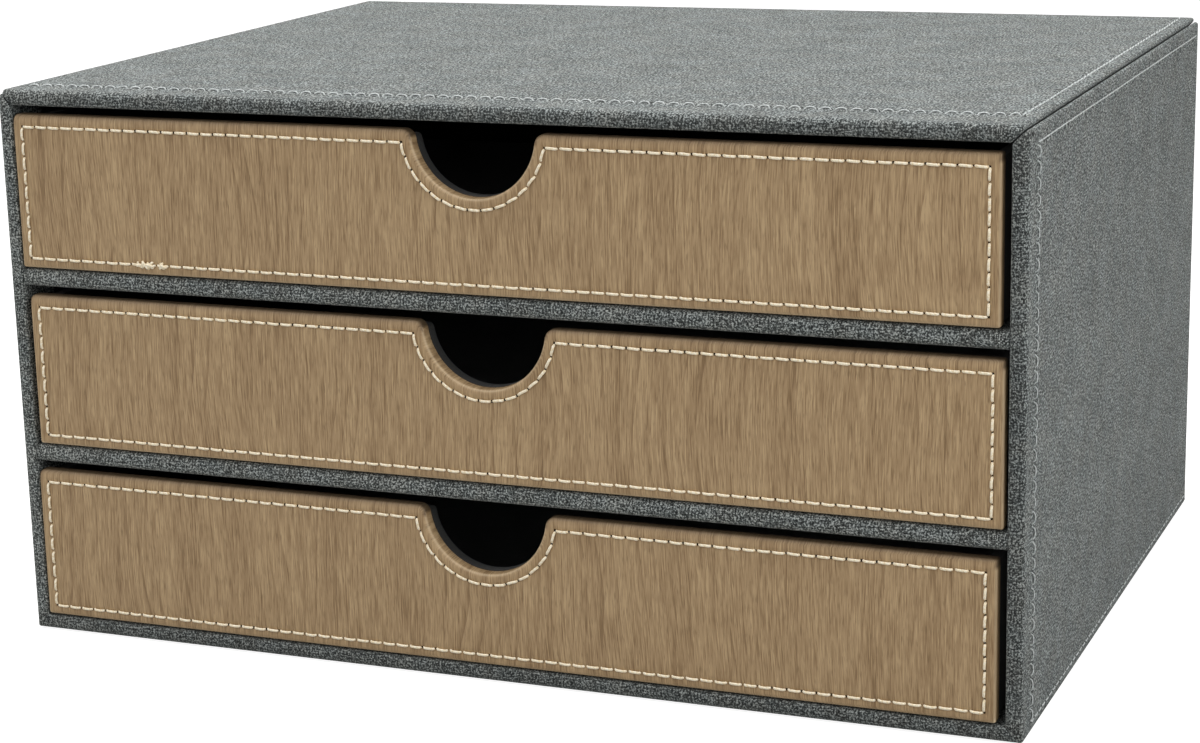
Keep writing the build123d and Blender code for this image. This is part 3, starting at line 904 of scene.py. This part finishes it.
for index, bay in enumerate(("bottom", "middle", "top")):
    drawer = bay + "_drawer"
    centre_x = half_front - bay_reach + rest_gap_left[bay]
    front_z = base_z + wall_thickness + index * bay_pitch + front_lift
    waves = soft_waves(60 + index, 0.035, 30.0)
    points, places, rubbed, soiled = [], [], [], []
    shift = np.array(grain_shift[bay])
    for (inset, depth), walk in zip(ring_plan, walked):
        ring = whole_ring(inset)
        if depth == 0.0:
            flat = ring
            lift = leather_relief(ring, inset) + waves(*ring.T) * min(1, inset - leather_roll)
        else:
            flat = whole_ring(leather_roll)
            lift = top_ease(ring) * (depth < 2 * leather_roll)
        back_by = max(0.0, edge_walk - walk)
        from_edge = walk - edge_walk + leather_roll * pi / 2
        outward = np.sign(ring - (0.0, front_height / 2))
        for k, (x, z) in enumerate(ring):
            points.append((centre_x + x, front_face_y + depth - lift[k], front_z + z))
            # The print runs on round the edge that is nearest
            runs_on = np.array((1, 0) if abs(x) > half_front - side_strip else (0, 1))
            places.append(flat[k] + outward[k] * runs_on * back_by + shift)
            # Painted highlight on the roll, and painted shade instead of it along the top edge
            above = front_height - z < top_strip + inset
            fold = sum(ridge(dist((x, z), corner), fold_width) for corner in fold_highlight_corners[bay])
            pale = ridge(from_edge - highlight_at, highlight_width) * min(1.0, highlight_amount + fold)
            rubbed.append(0.0 if above else pale)
            soiled.append(top_shade_amount * ridge(max(0.0, from_edge), top_shade_width) if above else 0.0)
    size = len(ring)
    faces = quads(np.arange(len(points)).reshape(-1, size), closed=True)
    # Inside the last ring the face is filled with a grid between its lower and upper points
    last, inset = (len(ring_plan) - 1) * size, ring_plan[-1][0]
    lower_side, _, upper_side, left_side = front_ring(inset)
    wide, high = len(lower_side), len(left_side)
    grid = np.zeros((high, wide), int)
    grid[0] = last + np.arange(wide)
    grid[:, -1] = last + wide - 1 + np.arange(high)
    grid[-1, ::-1] = last + wide - 1 + high - 1 + np.arange(wide)
    grid[::-1, 0] = (last + 2 * (wide - 1) + high - 1 + np.arange(high) - last) % size + last
    for row in range(1, high - 1):
        share = (left_side[row, 1] - left_side[0, 1]) / (left_side[-1, 1] - left_side[0, 1])
        line = (lower_side + (upper_side - lower_side) * share)[1:-1]
        grid[row, 1:-1] = len(points) + np.arange(len(line))
        for (x, z), lift in zip(line, leather_relief(line, inset) + waves(*line.T)):
            points.append((centre_x + x, front_face_y - lift, front_z + z))
        places += list(line + shift)
    rubbed += [0] * (len(points) - len(rubbed))
    soiled += [0] * (len(points) - len(soiled))
    faces += quads(grid)
    leather = cloth_mesh(drawer + "_leathercloth", points, faces, places, leather_skin)
    for wear_and_painted_light, amounts in (("rubbed", rubbed), ("soiled", soiled)):
        leather.data.attributes.new(wear_and_painted_light, "FLOAT", "POINT").data.foreach_set("value", amounts)
    leather.data.materials.append(wood_leather)
    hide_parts(drawer + "_front_leather")
    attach(leather, drawer)

    draw = random.Random(100 + index)
    toward = np.array([0.0, -1.0, 0.0])

    def on_leather(point):
        at = np.array([[point[0] - centre_x, point[2] - front_z]])
        return float(leather_relief(at, side_row)[0])

    stitches, slits = [], []
    for row in sewn_rows():
        holes = [np.array([centre_x + x, front_face_y, front_z + z]) for x, z in row]
        for here, there in zip(holes, holes[1:]):
            bow = draw.uniform(-0.05, 0.12)
            tilt = saddle_tilt + draw.uniform(-0.1, 0.1)
            stitches.append(lay_stitch(here, there, on_leather, toward, bow, tilt, saddle_sink, saddle_rise,
                                       saddle_gap))
        slits += hole_places(holes)
    if bay == "top":
        # The sewer ended a thread here and tied it off: a lump and a few stitches sewn over each other
        for place, half_length in knot_lumps:
            for layer in range(knot_layers):
                turn = draw.uniform(-1.2, 1.2)
                middle = np.array([place + draw.uniform(-0.5, 0.5), front_face_y, front_z + sewn_bottom])
                reach = np.array([cos(turn), 0, sin(turn)]) * half_length
                rise = knot_rise + layer_height * layer
                stitches.append(lay_stitch(middle - reach, middle + reach, on_leather, toward,
                                           draw.uniform(-0.3, 0.3), 0.0, 0.0, rise, 0.0))
    sewing = sewn_thread(drawer + "_saddle_stitch", stitches, *saddle_thread)
    cuts = awl_slits(drawer + "_awl_slits", slits, on_leather, toward, *slit)
    for piece, material in ((sewing, cream_thread), (cuts, slit_dark)):
        piece.data.materials.append(material)
        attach(piece, drawer)
